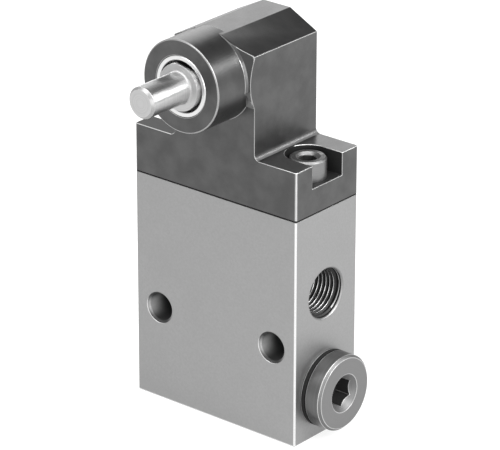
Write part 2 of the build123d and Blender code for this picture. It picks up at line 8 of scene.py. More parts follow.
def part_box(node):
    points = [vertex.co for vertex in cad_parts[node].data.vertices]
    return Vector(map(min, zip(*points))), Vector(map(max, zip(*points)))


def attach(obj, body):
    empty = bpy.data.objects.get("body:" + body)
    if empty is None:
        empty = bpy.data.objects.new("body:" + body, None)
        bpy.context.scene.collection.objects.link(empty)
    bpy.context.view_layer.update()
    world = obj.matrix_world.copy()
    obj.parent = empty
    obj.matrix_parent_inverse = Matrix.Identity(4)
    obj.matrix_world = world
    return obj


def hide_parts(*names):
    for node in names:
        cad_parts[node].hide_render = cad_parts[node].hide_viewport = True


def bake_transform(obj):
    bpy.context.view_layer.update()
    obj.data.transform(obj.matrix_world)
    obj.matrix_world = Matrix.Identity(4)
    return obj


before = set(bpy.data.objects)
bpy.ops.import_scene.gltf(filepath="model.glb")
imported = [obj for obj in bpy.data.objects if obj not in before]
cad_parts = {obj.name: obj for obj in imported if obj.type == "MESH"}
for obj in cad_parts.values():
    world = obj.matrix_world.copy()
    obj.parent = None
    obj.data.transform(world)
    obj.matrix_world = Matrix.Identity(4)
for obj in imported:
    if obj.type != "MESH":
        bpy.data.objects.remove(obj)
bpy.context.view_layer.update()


# Valve body: a bar of aluminium, milled to size, drilled and tapped for the ports, then anodised
# in its natural colour. The anodising leaves an even satin grey with a fine grain. The milled
# corners are bare metal and a little brighter than the faces, and carry a painted highlight too.
def linear(hex_colour):
    """An sRGB colour such as "A5A5A5" as the linear RGBA that Blender's sockets take."""
    parts = [int(hex_colour[i : i + 2], 16) / 255 for i in (0, 2, 4)]
    return [c / 12.92 if c <= 0.04045 else ((c + 0.055) / 1.055) ** 2.4 for c in parts] + [1.0]


def put(tree, kind, sockets=None, **settings):
    """Add a node: settings are its properties, sockets are numbers or other nodes' outputs."""
    node = tree.nodes.new(kind)
    for name, value in settings.items():
        setattr(node, name, value)
    for name, value in (sockets or {}).items():
        if isinstance(value, bpy.types.NodeSocket):
            tree.links.new(value, node.inputs[name])
        else:
            node.inputs[name].default_value = value
    return node


def new_material(name):
    """An empty node material, its tree and its output node."""
    material = bpy.data.materials.new(name)
    material.use_nodes = True
    material.node_tree.nodes.clear()
    return material, material.node_tree, put(material.node_tree, "ShaderNodeOutputMaterial")


def marked_metal(name, scale, detail, dark, light, metallic, roughness):
    """A metal whose marks, a noise of that scale per metre, run from the dark tone to the light one.

    Where roughness is a pair of values, the gloss follows the marks from the first to the second.
    """
    material, tree, output = new_material(name)
    place = put(tree, "ShaderNodeTexCoord").outputs["Object"]
    marks = put(tree, "ShaderNodeTexNoise", {"Vector": place, "Scale": scale, "Detail": detail})
    tone = put(tree, "ShaderNodeMix", {
        "Factor": marks.outputs["Fac"], "A": linear(dark), "B": linear(light)}, data_type="RGBA")
    if isinstance(roughness, tuple):
        gloss = put(tree, "ShaderNodeMapRange", {
            "Value": marks.outputs["Fac"], "To Min": roughness[0], "To Max": roughness[1]})
        roughness = gloss.outputs["Result"]
    shader = put(tree, "ShaderNodeBsdfPrincipled", {
        "Base Color": tone.outputs["Result"], "Metallic": metallic, "Roughness": roughness})
    tree.links.new(shader.outputs["BSDF"], output.inputs["Surface"])
    return material


def merged_copy(node, name):
    """A copy of a CAD node as one closed mesh of flat faces, selected and active."""
    bpy.ops.object.select_all(action="DESELECT")
    piece = bpy.data.objects.new(name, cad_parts[node].data.copy())
    bpy.context.scene.collection.objects.link(piece)
    bpy.context.view_layer.objects.active = piece
    piece.select_set(True)
    bpy.ops.mesh.customdata_custom_splitnormals_clear()
    bpy.ops.object.mode_set(mode="EDIT")
    bpy.ops.mesh.select_all(action="SELECT")
    bpy.ops.mesh.remove_doubles(threshold=0.000001)
    bpy.ops.mesh.dissolve_limited(angle_limit=math.radians(0.4))
    bpy.ops.object.mode_set(mode="OBJECT")
    return piece


def coat(piece, *finishes):
    """Give a piece its finishes: the first covers it, and finish_faces lays on the others."""
    piece.data.materials.clear()
    for finish in finishes:
        piece.data.materials.append(finish)


def finish_faces(piece, slot, chosen):
    """Give a material slot to the faces whose centre and normal pass a test."""
    for face in piece.data.polygons:
        if chosen(face.center, face.normal):
            face.material_index = slot


def slanted(part):
    """Whether a part of a face's normal is that of a face at 45 degrees, such as a chamfer."""
    return 0.6 < part < 0.8


def round_edges(piece, width, edge_slot=0, hollows=lambda edge: False):
    """Round the outer edges sharper than 40 degrees, and the inner ones that the test hollows picks."""
    shape = bmesh.new()
    shape.from_mesh(piece.data)
    rounding = shape.edges.layers.float.new("bevel_weight_edge")
    for edge in shape.edges:
        if (edge.is_convex or hollows(edge)) and edge.calc_face_angle() > math.radians(40):
            edge[rounding] = 1.0
    shape.to_mesh(piece.data)
    shape.free()
    bevel = piece.modifiers.new("rounded edges", "BEVEL")
    bevel.width = width
    bevel.segments = 4
    bevel.limit_method = "WEIGHT"
    bevel.use_clamp_overlap = False
    bevel.material = edge_slot
    bpy.ops.object.modifier_apply(modifier=bevel.name)
    bpy.ops.object.shade_smooth_by_angle(angle=math.radians(24))
    level = piece.modifiers.new("flat faces", "WEIGHTED_NORMAL")
    level.keep_sharp = True
    bpy.ops.object.modifier_apply(modifier=level.name)


# Half the bar's width, then the axes of its mounting holes and of its ports
body_half_width = 0.0195
hole_offset = 0.0138
hole_height = 0.019
upper_port = 0.0286
lower_port = 0.0094


def from_hole(c):
    """Distance of a point from the axis of the mounting hole on its side."""
    return math.hypot(abs(c.x) - hole_offset, c.z - hole_height)


def from_port(c, height):
    """Distance of a point from the axis of the ports at that height."""
    return math.hypot(c.y, c.z - height)


natural_anodised, tree, output = new_material("natural_anodised_aluminium")
place = put(tree, "ShaderNodeTexCoord").outputs["Object"]
# Clouding of the anodised layer, patches of about 6 mm
clouds = put(tree, "ShaderNodeTexNoise", {"Vector": place, "Scale": 160.0, "Detail": 2.0})
# Grain of 0.15 mm, drawn at 0.4 mm so that it shows
grain = put(tree, "ShaderNodeTexNoise", {"Vector": place, "Scale": 2500.0, "Detail": 3.0})
tone = put(tree, "ShaderNodeMix", {
    "Factor": clouds.outputs["Fac"], "A": linear("949494"), "B": linear("9C9C9C")}, data_type="RGBA")
speckle = put(tree, "ShaderNodeMix", {
    "Factor": grain.outputs["Fac"], "A": tone.outputs["Result"], "B": linear("929292")}, data_type="RGBA")
gloss = put(tree, "ShaderNodeMapRange", {"Value": grain.outputs["Fac"], "To Min": 0.4, "To Max": 0.56})
relief = put(tree, "ShaderNodeBump", {
    "Height": grain.outputs["Fac"], "Strength": 0.15, "Distance": 0.00002})
shader = put(tree, "ShaderNodeBsdfPrincipled", {
    "Base Color": speckle.outputs["Result"], "Metallic": 1.0,
    "Roughness": gloss.outputs["Result"], "Normal": relief.outputs["Normal"]})
tree.links.new(shader.outputs["BSDF"], output.inputs["Surface"])

# Broken corners: cutter marks of 0.2 mm on bare metal, lighter than the faces, with a painted
# highlight that makes each corner a thin bright line
bright_edge_and_highlight = marked_metal("milled_edge_and_painted_highlight", 5000.0, 1.0, "C6C6C6", "E0E0E0", 1.0, (0.28, 0.4))
# Mouths of the ports: chatter of the countersink, 0.2 mm, dulls the cone, and its darker grey is
# painted shade in the mouth
countersunk = marked_metal("countersunk_mouth_painted_shade", 5000.0, 2.0, "7A7A7A", "949494", 1.0, 0.45)
# Walls between the threads and of the ports: painted shade, near black in patches of 0.5 mm
groove = marked_metal("tapped_groove_in_shade", 2000.0, 2.0, "242424", "343434", 0.6, 0.5)

drilled, tree, output = new_material("drilled_bore_painted_light_and_shade")
place = put(tree, "ShaderNodeTexCoord").outputs["Object"]
# Drill marks on the wall of each bore, 0.2 mm
marks = put(tree, "ShaderNodeTexNoise", {"Vector": place, "Scale": 5000.0, "Detail": 2.0})
tone = put(tree, "ShaderNodeMix", {
    "Factor": marks.outputs["Fac"], "A": linear("B8B8B8"), "B": linear("D0D0D0")}, data_type="RGBA")
# A painted pool of light lies on the wall within 5 mm of its mouths, on a band just below the
# middle of the hole. The rest of the wall is painted dark grey as shade.
lit_band_height = 0.0187
from_middle = put(tree, "ShaderNodeVectorMath", {0: place}, operation="ABSOLUTE")
depth = put(tree, "ShaderNodeSeparateXYZ", {"Vector": from_middle.outputs["Vector"]})
reach = put(tree, "ShaderNodeMapRange", {
    "Value": depth.outputs["Y"], "From Min": 0.004, "From Max": 0.008}, interpolation_type="SMOOTHSTEP")
off_band = put(tree, "ShaderNodeMath", {0: depth.outputs["Z"], 1: lit_band_height}, operation="SUBTRACT")
off_band = put(tree, "ShaderNodeMath", {0: off_band.outputs["Value"]}, operation="ABSOLUTE")
band = put(tree, "ShaderNodeMapRange", {
    "Value": off_band.outputs["Value"], "From Min": 0.0003, "From Max": 0.0024,
    "To Min": 1.0, "To Max": 0.0}, interpolation_type="SMOOTHSTEP")
painted_light = put(tree, "ShaderNodeMath", {
    0: reach.outputs["Result"], 1: band.outputs["Result"]}, operation="MULTIPLY")
# At the broken edge of the mouth the painted light is half as bright
mouth = put(tree, "ShaderNodeMapRange", {
    "Value": depth.outputs["Y"], "From Min": 0.0085, "From Max": 0.0088, "To Min": 1.0, "To Max": 0.5})
painted_light = put(tree, "ShaderNodeMath", {
    0: painted_light.outputs["Value"], 1: mouth.outputs["Result"]}, operation="MULTIPLY")
wall = put(tree, "ShaderNodeMix", {
    "Factor": painted_light.outputs["Value"], "A": linear("2C2C2C"), "B": tone.outputs["Result"]}, data_type="RGBA")
shader = put(tree, "ShaderNodeBsdfPrincipled", {
    "Base Color": wall.outputs["Result"], "Metallic": 0.2, "Roughness": 0.6})
tree.links.new(shader.outputs["BSDF"], output.inputs["Surface"])

body = merged_copy("valve_body", "body_bar")
coat(body, natural_anodised, bright_edge_and_highlight, drilled, countersunk, groove)
# Sideways, only corners and ports' mouths lie past corner_line, and the bores end at bore_end. Forward,
# the mounting holes' walls end at hole_end. Upward, the bores lie between bore_foot and bore_top.
corner_line = 0.0191
bore_end = 0.0189
hole_end = 0.00899
bore_foot = 0.0004
bore_top = 0.0456
finish_faces(body, 1, lambda c, n: abs(n.z) < 0.01 and slanted(abs(n.x)) and abs(c.x) > corner_line)
finish_faces(body, 3, lambda c, n: abs(n.z) > 0.01 and slanted(abs(n.x)) and abs(c.x) > corner_line)
finish_faces(body, 2, lambda c, n: abs(c.x) < bore_end and abs(c.y) < hole_end and bore_foot < c.z < bore_top)
# The ports' walls lie outside port_back, within a square round their axes
port_back = 0.0108
port_square = 0.0051
finish_faces(body, 4, lambda c, n: port_back < abs(c.x) < bore_end and abs(c.y) < port_square
             and min(abs(c.z - lower_port), abs(c.z - upper_port)) < port_square and abs(n.y) < 0.999)
round_edges(body, 0.00008, edge_slot=1)
# Under the head, and round each mounting hole, the edge keeps the finish of the faces. On the hole's
# rim the painted highlight stays only where it faces up and to the right.
top_edge = 0.04553
hole_rim_inside = 0.0031
hole_rim_outside = 0.0034
hole_rim_depth = 0.0088
finish_faces(body, 0, lambda c, n: c.z > top_edge)
finish_faces(body, 0, lambda c, n: hole_rim_inside < from_hole(c) < hole_rim_outside
             and abs(c.y) > hole_rim_depth and n.x + n.z < 0.3)
finish_faces(body, 2, lambda c, n: from_hole(c) < hole_rim_inside and abs(c.y) < hole_end)
port_rim = 0.0054
port_rim_depth = 0.0188
for height in (upper_port, lower_port):
    finish_faces(body, 3, lambda c, n: from_port(c, height) < port_rim and abs(c.x) > port_rim_depth)
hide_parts("valve_body")
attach(body, "valve")

# Port threads: G 1/8, cut with a tap into the aluminium of the three open ports. The ridge runs
# round as one helix, 0.907 mm to the turn, from the mouth's countersink nearly to the floor. Its
# crests shine, and its flanks and the grooves between the turns are painted dark as shade.
thread_pitch = 0.000907
thread_turns = 7
thread_steps = 56
first_turn = body_half_width - 0.0006
ridge_root = 0.004884
ridge_crest = 0.00431
crest_round = 0.00004
crest_band = 0.0001
# The ridge sinks into the wall over so many steps at the mouth and at the floor
mouth_runout = 40
floor_runout = 14
runout_growth = 0.14
# The countersink's cone stands cone_reach off the wall at cone_depth behind the first turn's start
cone_reach = 0.00052
cone_depth = 0.00012

# Crests: tool marks of 0.1 mm, rubbed bright by the fittings
tapped = marked_metal("tapped_aluminium", 9000.0, 2.0, "A8A8A8", "C9C9C9", 1.0, (0.22, 0.38))


def cut_thread(name, side, height):
    """The ridge and the mouth's cone in the port on that side (1 or -1) at that height."""
    # The six corners of the ridge's section: two at the root, four round the crest
    section = (
        (ridge_root, -0.44), (ridge_crest + crest_round, -0.12), (ridge_crest, -0.05),
        (ridge_crest, 0.05), (ridge_crest + crest_round, 0.12), (ridge_root, 0.44))
    bpy.ops.object.select_all(action="DESELECT")
    bpy.ops.mesh.primitive_circle_add(
        vertices=len(section), radius=thread_pitch / 2, fill_type="NGON", rotation=(math.pi / 2, 0, 0))
    thread = bpy.context.object
    thread.name = name
    bpy.ops.object.transform_apply(location=True, rotation=True, scale=True)
    for corner, (radius, share) in zip(thread.data.vertices, section):
        corner.co = (radius, 0, share * thread_pitch)
    helix = thread.modifiers.new("helix", "SCREW")
    helix.axis = "Z"
    helix.steps = helix.render_steps = thread_steps
    helix.iterations = thread_turns
    helix.screw_offset = thread_pitch
    bpy.ops.object.modifier_apply(modifier=helix.name)
    # The mouth's countersink thins most of the first turn, and the last quarter turn fades out
    last_step = len(thread.data.vertices) // len(section) - 1
    for number, corner in enumerate(thread.data.vertices):
        step = number // len(section)
        sunk = 1 - min(1, step / mouth_runout, (last_step - step) / floor_runout)
        corner.co.x *= 1 + runout_growth * sunk
        corner.co.y *= 1 + runout_growth * sunk
    bpy.ops.object.mode_set(mode="EDIT")
    bpy.ops.mesh.select_all(action="SELECT")
    bpy.ops.mesh.remove_doubles(threshold=0.0000005)
    bpy.ops.mesh.fill_holes(sides=len(section))
    bpy.ops.mesh.normals_make_consistent(inside=False)
    bpy.ops.object.mode_set(mode="OBJECT")
    # The cone that the countersink leaves between the mouth and the first crest, turned as a ring
    cone_section = (
        (ridge_root, -0.00032), (ridge_root - cone_reach, cone_depth), (ridge_root, 0.0005))
    thread.select_set(False)
    bpy.ops.mesh.primitive_circle_add(
        vertices=len(cone_section), radius=thread_pitch, fill_type="NOTHING")
    cone = bpy.context.object
    for corner, (radius, depth) in zip(cone.data.vertices, cone_section):
        corner.co = (radius, 0, depth)
    ring = cone.modifiers.new("ring", "SCREW")
    ring.axis = "Z"
    ring.steps = ring.render_steps = thread_steps
    ring.screw_offset = 0
    ring.use_merge_vertices = True
    bpy.ops.object.modifier_apply(modifier=ring.name)
    bpy.ops.object.mode_set(mode="EDIT")
    bpy.ops.mesh.select_all(action="SELECT")
    bpy.ops.mesh.remove_doubles(threshold=0.0000005)
    bpy.ops.mesh.normals_make_consistent(inside=False)
    bpy.ops.object.mode_set(mode="OBJECT")
    thread.select_set(True)
    bpy.context.view_layer.objects.active = thread
    bpy.ops.object.join()
    # The helix is made on Z, then laid along the port
    turn = Matrix.Rotation(math.radians(-90 * side), 4, "Y")
    thread.data.transform(Matrix.Translation((side * first_turn, 0, height)) @ turn)
    bpy.ops.object.shade_smooth_by_angle(angle=math.radians(30))
    coat(thread, groove, tapped, countersunk)
    finish_faces(thread, 1, lambda c, n: from_port(c, height) < ridge_crest + crest_band)
    finish_faces(thread, 2, lambda c, n: abs(c.x) > first_turn - cone_depth and side * n.x > 0.3)
    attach(thread, "valve")


cut_thread("outlet_thread", 1, upper_port)
cut_thread("supply_thread", -1, lower_port)
cut_thread("exhaust_thread", -1, upper_port)

# Gasket and seals: moulded nitrile rubber, laid in their grooves or between the housings. It is
# near black and matt, with the fine skin that a mould leaves.
nitrile, tree, output = new_material("moulded_nitrile_rubber")
place = put(tree, "ShaderNodeTexCoord").outputs["Object"]
# Skin of the mould, 0.2 mm
skin = put(tree, "ShaderNodeTexNoise", {"Vector": place, "Scale": 5000.0, "Detail": 3.0})
tone = put(tree, "ShaderNodeMix", {
    "Factor": skin.outputs["Fac"], "A": linear("0A0A0A"), "B": linear("141414")}, data_type="RGBA")
relief = put(tree, "ShaderNodeBump", {"Height": skin.outputs["Fac"], "Strength": 0.3, "Distance": 0.00002})
shader = put(tree, "ShaderNodeBsdfPrincipled", {
    "Base Color": tone.outputs["Result"], "Roughness": 0.85, "IOR": 1.4, "Normal": relief.outputs["Normal"]})
tree.links.new(shader.outputs["BSDF"], output.inputs["Surface"])

for name in ("head_gasket", "spindle_seal", "spool_seals", "guide_seal", "stem_seal"):
    coat(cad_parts[name], nitrile)

# Cages and guide bush: turned from brass bar and pushed into the spool bore. Fine turning rings
# run round them.
turned_brass, tree, output = new_material("turned_brass")
place = put(tree, "ShaderNodeTexCoord").outputs["Object"]
# Turning rings 0.12 mm apart along the spool's axis
along = put(tree, "ShaderNodeVectorMath", {0: place, 1: (0.0, 0.0, 1.0)}, operation="MULTIPLY")
rings = put(tree, "ShaderNodeTexNoise", {"Vector": along.outputs["Vector"], "Scale": 8000.0, "Detail": 2.0})
tone = put(tree, "ShaderNodeMix", {
    "Factor": rings.outputs["Fac"], "A": linear("B08D46"), "B": linear("CDAA5E")}, data_type="RGBA")
relief = put(tree, "ShaderNodeBump", {"Height": rings.outputs["Fac"], "Strength": 0.3, "Distance": 0.00002})
shader = put(tree, "ShaderNodeBsdfPrincipled", {
    "Base Color": tone.outputs["Result"], "Metallic": 1.0, "Roughness": 0.3,
    "Normal": relief.outputs["Normal"]})
tree.links.new(shader.outputs["BSDF"], output.inputs["Surface"])

for name in ("supply_cage", "port_cages", "guide_bush"):
    coat(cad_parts[name], turned_brass)

# Springs: cold-drawn spring steel wire, coiled and ground flat at the ends. Drawing leaves fine
# marks of 0.1 mm on the wire, which make its grey uneven.
spring_wire = marked_metal("drawn_spring_wire", 9000.0, 2.0, "7C7C7A", "9E9E9C", 1.0, 0.34)

# One end stays in the housing and the other goes with the part that it presses on
for node, name, presses in (
    ("return_spring", "return_coil", "spool"),
    ("tappet_spring", "tappet_coil", "tappet"),
):
    coil = merged_copy(node, name)
    bpy.ops.object.shade_smooth_by_angle(angle=math.radians(40))
    coat(coil, spring_wire)
    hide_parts(node)
    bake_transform(coil)

# Spool, tappet, cam and pins: hardened steel, ground bright, with grinding marks of 0.1 mm that
# soften its shine. They work inside the housings, and show only when the valve is taken apart.
ground_steel = marked_metal("ground_hardened_steel", 9000.0, 3.0, "B4B5B7", "CBCCCD", 1.0, (0.16, 0.28))

for name in ("spool", "tappet", "cam", "cam_pin", "stop_pin"):
    coat(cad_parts[name], ground_steel)

# Head housing: machined from aluminium and anodised black, with a satin sheen. The dye is a dark
# grey in strong light. Its edges are rubbed lighter where the housing was handled, and carry painted
# highlights as well, on hollow edges too.
spindle_height = 0.0703
ledge_height = 0.0555
tower_side = 0.0096
root_fillet = 0.0011


def from_spindle(c):
    """Distance of a point from the spindle's axis."""
    return math.hypot(c.x, c.z - spindle_height)


black_anodised, tree, output = new_material("black_anodised_aluminium")
place = put(tree, "ShaderNodeTexCoord").outputs["Object"]
# Clouding of the dye, patches of about 4 mm
clouds = put(tree, "ShaderNodeTexNoise", {"Vector": place, "Scale": 260.0, "Detail": 6.0})
# Blasted grain of 0.1 mm, drawn at 0.4 mm so that it shows
grain = put(tree, "ShaderNodeTexNoise", {"Vector": place, "Scale": 2500.0, "Detail": 3.0})
tone = put(tree, "ShaderNodeMix", {
    "Factor": clouds.outputs["Fac"], "A": linear("141414"), "B": linear("1F1F1F")}, data_type="RGBA")
speckle = put(tree, "ShaderNodeMix", {
    "Factor": grain.outputs["Fac"], "A": tone.outputs["Result"], "B": linear("101010")}, data_type="RGBA")
gloss = put(tree, "ShaderNodeMapRange", {"Value": grain.outputs["Fac"], "To Min": 0.26, "To Max": 0.4})
# Where the blasting bit deeper, the dye swallows more of the sheen
depth = put(tree, "ShaderNodeMapRange", {
    "Value": clouds.outputs["Fac"], "From Min": 0.35, "From Max": 0.65, "To Min": 0.0, "To Max": 0.24})
relief = put(tree, "ShaderNodeBump", {"Height": grain.outputs["Fac"], "Strength": 0.3, "Distance": 0.00002})
shader = put(tree, "ShaderNodeBsdfPrincipled", {
    "Base Color": speckle.outputs["Result"], "Metallic": depth.outputs["Result"], "IOR": 1.8,
    "Roughness": gloss.outputs["Result"], "Normal": relief.outputs["Normal"]})
tree.links.new(shader.outputs["BSDF"], output.inputs["Surface"])

# The edges are rubbed through to the metal, in stretches of 2 mm, and the boss's rim only half
# through. Both also serve as painted highlights.
edge_wear_and_highlight = marked_metal("anodised_edge_wear_and_painted_highlight", 500.0, 3.0, "808080", "AAAAAA", 0.8, 0.36)
rim_wear_and_highlight = marked_metal("anodised_rim_wear_and_painted_highlight", 500.0, 3.0, "505050", "6A6A6A", 0.8, 0.36)

pocket_black_and_shade, tree, output = new_material("black_pocket_and_painted_shade")
place = put(tree, "ShaderNodeTexCoord").outputs["Object"]
# End-mill marks on the pocket walls, 0.3 mm, which leave them matt. The near black is painted
# shade, in the pockets and also on the flare and on the ledge under the boss
marks = put(tree, "ShaderNodeTexNoise", {"Vector": place, "Scale": 3300.0, "Detail": 2.0})
tone = put(tree, "ShaderNodeMix", {
    "Factor": marks.outputs["Fac"], "A": linear("0E0E0E"), "B": linear("1A1A1A")}, data_type="RGBA")
shader = put(tree, "ShaderNodeBsdfPrincipled", {
    "Base Color": tone.outputs["Result"], "Roughness": 0.55, "IOR": 1.45})
tree.links.new(shader.outputs["BSDF"], output.inputs["Surface"])

head = merged_copy("head_housing", "head_block")
coat(head, black_anodised, edge_wear_and_highlight, pocket_black_and_shade, bright_edge_and_highlight, rim_wear_and_highlight)
# The broken corners of the foot, the bevel of the boss's rim, and the lower half of the root fillets,
# all with painted highlights
foot_corner = 0.019
boss_rim = -0.018
finish_faces(head, 3, lambda c, n: abs(n.z) < 0.01 and slanted(abs(n.x)) and abs(c.x) > foot_corner)
finish_faces(head, 4, lambda c, n: slanted(-n.y) and c.y < boss_rim)
finish_faces(head, 1, lambda c, n: 0.6 < n.z < 0.97 and abs(c.x) > tower_side
             and c.z < ledge_height + root_fillet)
# A ring of its own next to the root keeps the boss's shading true, and another cut parts the flare
boss_root = -0.0112
flare_cut = -0.0104
for depth in (boss_root, flare_cut):
    bpy.ops.object.mode_set(mode="EDIT")
    bpy.ops.mesh.select_all(action="SELECT")
    bpy.ops.mesh.bisect(plane_co=(0, depth, 0), plane_no=(0, 1, 0))
    bpy.ops.object.mode_set(mode="OBJECT")
# Hollow edges are rounded too, and carry the same painted highlight lines as the outer ones
round_edges(head, 0.00011, edge_slot=1, hollows=lambda edge: True)
# The foot's edge on the gasket stays plain
gasket_edge = 0.04615
finish_faces(head, 0, lambda c, n: c.z < gasket_edge)
# The painted highlight on the boss's root stays only low on the right, and a painted highlight lies
# on the front of the flare, as a narrow crescent
shine_foot = 0.0670
shine_top = 0.0748
root_reach = 0.0094
flare_front = -0.0108
finish_faces(head, 0, lambda c, n: boss_root < c.y < flare_cut and (c.z > shine_top or c.x < 0)
             and from_spindle(c) < root_reach)
finish_faces(head, 4, lambda c, n: flare_front < c.y < flare_cut and n.y < -0.5 and c.x > 0
             and shine_foot < c.z < shine_top)
# Behind the crescent the flare is painted shade, as black as the pockets; its edges stay plain further down
flare_back = -0.0092
dark_foot = 0.0690
dark_top = 0.0775
dark_side = 0.005
finish_faces(head, 2, lambda c, n: flare_cut < c.y < flare_back and slanted(-n.y)
             and abs(c.x) > dark_side and dark_foot < c.z < dark_top)
plain_front = -0.0107
plain_back = -0.0091
plain_foot = 0.0655
plain_side = 0.007
finish_faces(head, 0, lambda c, n: plain_front < c.y < plain_back and plain_side < abs(c.x) < root_reach
             and plain_foot < c.z < dark_foot)
# The ledges carry painted highlights along their rims. The one behind the spindle's stub lies
# under the boss, and is painted as dark as the screw pockets for its shadow.
ledge_band = 0.0002
rim_side = 0.0106
finish_faces(head, 3, lambda c, n: abs(c.z - ledge_height) < ledge_band and abs(c.x) > rim_side
             and 0.1 < n.z < 0.97)
finish_faces(head, 2, lambda c, n: abs(c.z - ledge_height) < ledge_band and c.x < -tower_side
             and n.z > 0.99)
# The screw pockets, with the screws' holes in their floors, run out to the ends of the foot, and
# are painted dark as shade
pocket_inside = 0.0101
pocket_outside = 0.0193
pocket_half_width = 0.0044
pocket_foot = 0.0462
pocket_top = 0.0552
finish_faces(head, 2, lambda c, n: pocket_inside < abs(c.x) < pocket_outside
             and abs(c.y) < pocket_half_width and pocket_foot < c.z < pocket_top)
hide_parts("head_housing")
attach(head, "valve")


# Front bush, thrust washer and rear bush: bearing steel, turned and pressed into the head. Only
# the front bush shows, as a bright ring round the spindle with a turned face.
def round_axis(tree, place, axis, across, along):
    """A place as its distance from an axis and its depth along it, on which a noise runs in rings."""
    shifted = put(tree, "ShaderNodeVectorMath", {0: place, 1: axis}, operation="SUBTRACT")
    flat = put(tree, "ShaderNodeVectorMath", {0: shifted.outputs["Vector"], 1: across}, operation="MULTIPLY")
    radius = put(tree, "ShaderNodeVectorMath", {0: flat.outputs["Vector"]}, operation="LENGTH")
    depth = put(tree, "ShaderNodeSeparateXYZ", {"Vector": place})
    rings = put(tree, "ShaderNodeCombineXYZ", {"X": radius.outputs["Value"], "Y": depth.outputs[along]})
    return rings.outputs["Vector"]


turned_steel, tree, output = new_material("turned_bearing_steel")
place = put(tree, "ShaderNodeTexCoord").outputs["Object"]
# Turning rings 0.1 mm apart round the spindle's axis, on faces and on round walls
lathe = round_axis(tree, place, (0.0, 0.0, spindle_height), (1.0, 0.0, 1.0), "Y")
rings = put(tree, "ShaderNodeTexNoise", {"Vector": lathe, "Scale": 9000.0, "Detail": 2.0})
tone = put(tree, "ShaderNodeMix", {
    "Factor": rings.outputs["Fac"], "A": linear("C4C4C4"), "B": linear("E2E2E2")}, data_type="RGBA")
relief = put(tree, "ShaderNodeBump", {"Height": rings.outputs["Fac"], "Strength": 0.3, "Distance": 0.00001})
shader = put(tree, "ShaderNodeBsdfPrincipled", {
    "Base Color": tone.outputs["Result"], "Metallic": 1.0, "Roughness": 0.3,
    "Normal": relief.outputs["Normal"]})
tree.links.new(shader.outputs["BSDF"], output.inputs["Surface"])

# The gap between bush and spindle: painted shade, nearly black in patches of 0.5 mm
gap_shade = marked_metal("steel_gap_painted_shade", 2000.0, 2.0, "1C1C1C", "303030", 0.5, 0.4)

ring = merged_copy("front_bush", "bush_ring")
coat(ring, turned_steel, gap_shade)
# Its bore, from the chamfer of its mouth inwards, is a side of that gap, in painted shade
bush_mouth = -0.0180
bush_bore = 0.0052
finish_faces(ring, 1, lambda c, n: c.y > bush_mouth and from_spindle(c) < bush_bore)
round_edges(ring, 0.00004)
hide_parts("front_bush")
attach(ring, "valve")

for name in ("thrust_washer", "rear_bush"):
    coat(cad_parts[name], turned_steel)

# Spindle: one turned piece of steel with a bright ground stub, on which the lever's hub clamps.
# Round marks from the grinding wheel make its highlights long and soft along the shaft.
ground_shaft, tree, output = new_material("ground_steel_shaft")
place = put(tree, "ShaderNodeTexCoord").outputs["Object"]
# Grinding rings 0.08 mm apart, drawn at 0.25 mm so that they show
lathe = round_axis(tree, place, (0.0, 0.0, spindle_height), (1.0, 0.0, 1.0), "Y")
rings = put(tree, "ShaderNodeTexNoise", {"Vector": lathe, "Scale": 4000.0, "Detail": 3.0})
tone = put(tree, "ShaderNodeMix", {
    "Factor": rings.outputs["Fac"], "A": linear("A6A6A6"), "B": linear("D0D0D0")}, data_type="RGBA")
gloss = put(tree, "ShaderNodeMapRange", {"Value": rings.outputs["Fac"], "To Min": 0.38, "To Max": 0.46})
relief = put(tree, "ShaderNodeBump", {"Height": rings.outputs["Fac"], "Strength": 0.08, "Distance": 0.00001})
# The rings throw each highlight out along the spindle's axis
shader = put(tree, "ShaderNodeBsdfPrincipled", {
    "Base Color": tone.outputs["Result"], "Metallic": 1.0,
    "Anisotropic": 1.0, "Tangent": (0.02, 1.0, 0.03),
    "Roughness": gloss.outputs["Result"], "Normal": relief.outputs["Normal"]})
tree.links.new(shader.outputs["BSDF"], output.inputs["Surface"])

# The stub's chamfer: tool marks of 0.2 mm keep it duller than the ground shaft
turned_chamfer = marked_metal("turned_stub_chamfer", 5000.0, 2.0, "8A8A8A", "A6A6A6", 1.0, 0.42)

shaft = merged_copy("spindle", "spindle_shaft")
coat(shaft, ground_shaft, gap_shade, turned_chamfer)
# The journal's front face, deep in the gap behind the collar and in painted shade, and the chamfer
# of the stub's end
journal_face = -0.0173
stub_chamfer = -0.0285
finish_faces(shaft, 1, lambda c, n: n.y < -0.9 and abs(c.y - journal_face) < 0.0003)
finish_faces(shaft, 2, lambda c, n: slanted(-n.y) and c.y < stub_chamfer)
round_edges(shaft, 0.00005)
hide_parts("spindle")
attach(shaft, "spindle")

# Head screws: M4 socket head screws of zinc-plated steel, which hold the head to the body. The
# plating is a soft light grey, and the turned top shows fine rings round the hexagon.
screw_offset = 0.0149

zinc_plated, tree, output = new_material("zinc_plated_steel")
place = put(tree, "ShaderNodeTexCoord").outputs["Object"]
